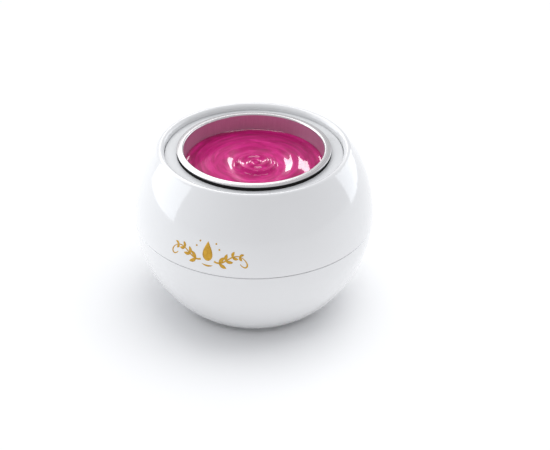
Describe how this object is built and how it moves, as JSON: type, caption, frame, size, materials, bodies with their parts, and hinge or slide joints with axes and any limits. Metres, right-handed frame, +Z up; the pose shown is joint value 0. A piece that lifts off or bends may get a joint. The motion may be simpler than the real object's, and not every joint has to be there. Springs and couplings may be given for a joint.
{
  "type": "wax warmer pot",
  "caption": "Ball-shaped white wax warmer with a rolled lip, a lift-out metal cup of pink wax in a heated well, a rear power inlet and a rocker switch.",
  "frame": {"origin": "on the ball's axis, at the undersides of the feet", "axes": "+Z up along the pot's axis, front towards -Y, power inlet at +Y"},
  "size_m": [0.125, 0.125, 0.0902],
  "materials": {
    "casing_white": "pearl gloss white",
    "base_white": "pearl gloss white",
    "collar_white": "satin white",
    "seat_black": "black silicone",
    "frame_plastic": "moulded, dark grey",
    "screw_steel": "zinc plated",
    "foot_rubber": "matte black",
    "cup_aluminium": "polished rim, brushed wall",
    "wax_pink": "pearly magenta wax",
    "well_aluminium": "turned",
    "silicone_red": "silicone",
    "pad_grey": "silicone pad",
    "ptc_case": "anodised",
    "strap_steel": "plain",
    "thermostat_cap": "plain",
    "phenolic_black": "phenolic",
    "tab_brass": "plain",
    "fuse_case": "plain",
    "glass_wool": "glass wool",
    "shield_aluminium": "spun",
    "inlet_black": "moulded",
    "pin_nickel": "nickel plated",
    "switch_black": "moulded",
    "rocker_black": "gloss",
    "sleeve_clear": "nylon",
    "lead_white": "silicone",
    "lead_red": "silicone"
  },
  "bodies": {
    "pot": {"upper_housing": "casing_white", "base_housing": "base_white", "rim_collar": "collar_white", "cup_seat_ring": "seat_black", "support_frame": "frame_plastic", "frame_screws": "screw_steel", "housing_screws": "screw_steel", "rubber_feet": "foot_rubber", "heating_well": "well_aluminium", "well_gasket": "silicone_red", "well_screws": "screw_steel", "thermal_pad": "pad_grey", "ptc_element": "ptc_case", "heater_clamp": "strap_steel", "clamp_screws": "screw_steel", "thermostat_cap": "thermostat_cap", "thermostat_body": "phenolic_black", "thermostat_tabs": "tab_brass", "thermostat_bracket": "strap_steel", "thermostat_screws": "screw_steel", "thermal_fuse": "fuse_case", "fuse_clip": "strap_steel", "fuse_screw": "screw_steel", "insulation_sleeve": "glass_wool", "heat_shield": "shield_aluminium", "shield_screws": "screw_steel", "wire_grommet": "silicone_red", "inlet_socket": "inlet_black", "inlet_pins": "pin_nickel", "switch_body": "switch_black", "switch_tabs": "tab_brass", "spade_sleeves": "sleeve_clear", "lead_inlet_to_switch": "lead_white", "lead_switch_to_thermostat": "lead_white", "lead_thermostat_to_heater": "lead_red", "lead_heater_to_fuse": "lead_red", "lead_fuse_to_inlet": "lead_white"},
    "cup": {"wax_cup": "cup_aluminium", "wax_fill": "wax_pink"},
    "rocker": {"switch_rocker": "rocker_black"}
  },
  "joints": [
    {"name": "cup_lift", "type": "slide", "parent": "pot", "child": "cup", "axis": [0, 0, 1], "range_m": [0, 0.06]},
    {"name": "rocker_tilt", "type": "hinge", "parent": "pot", "child": "rocker", "pos_m": [-0.02113, 0.04332, 0.023], "axis": [0, 0, 1], "range_deg": [0, 22]}
  ]
}
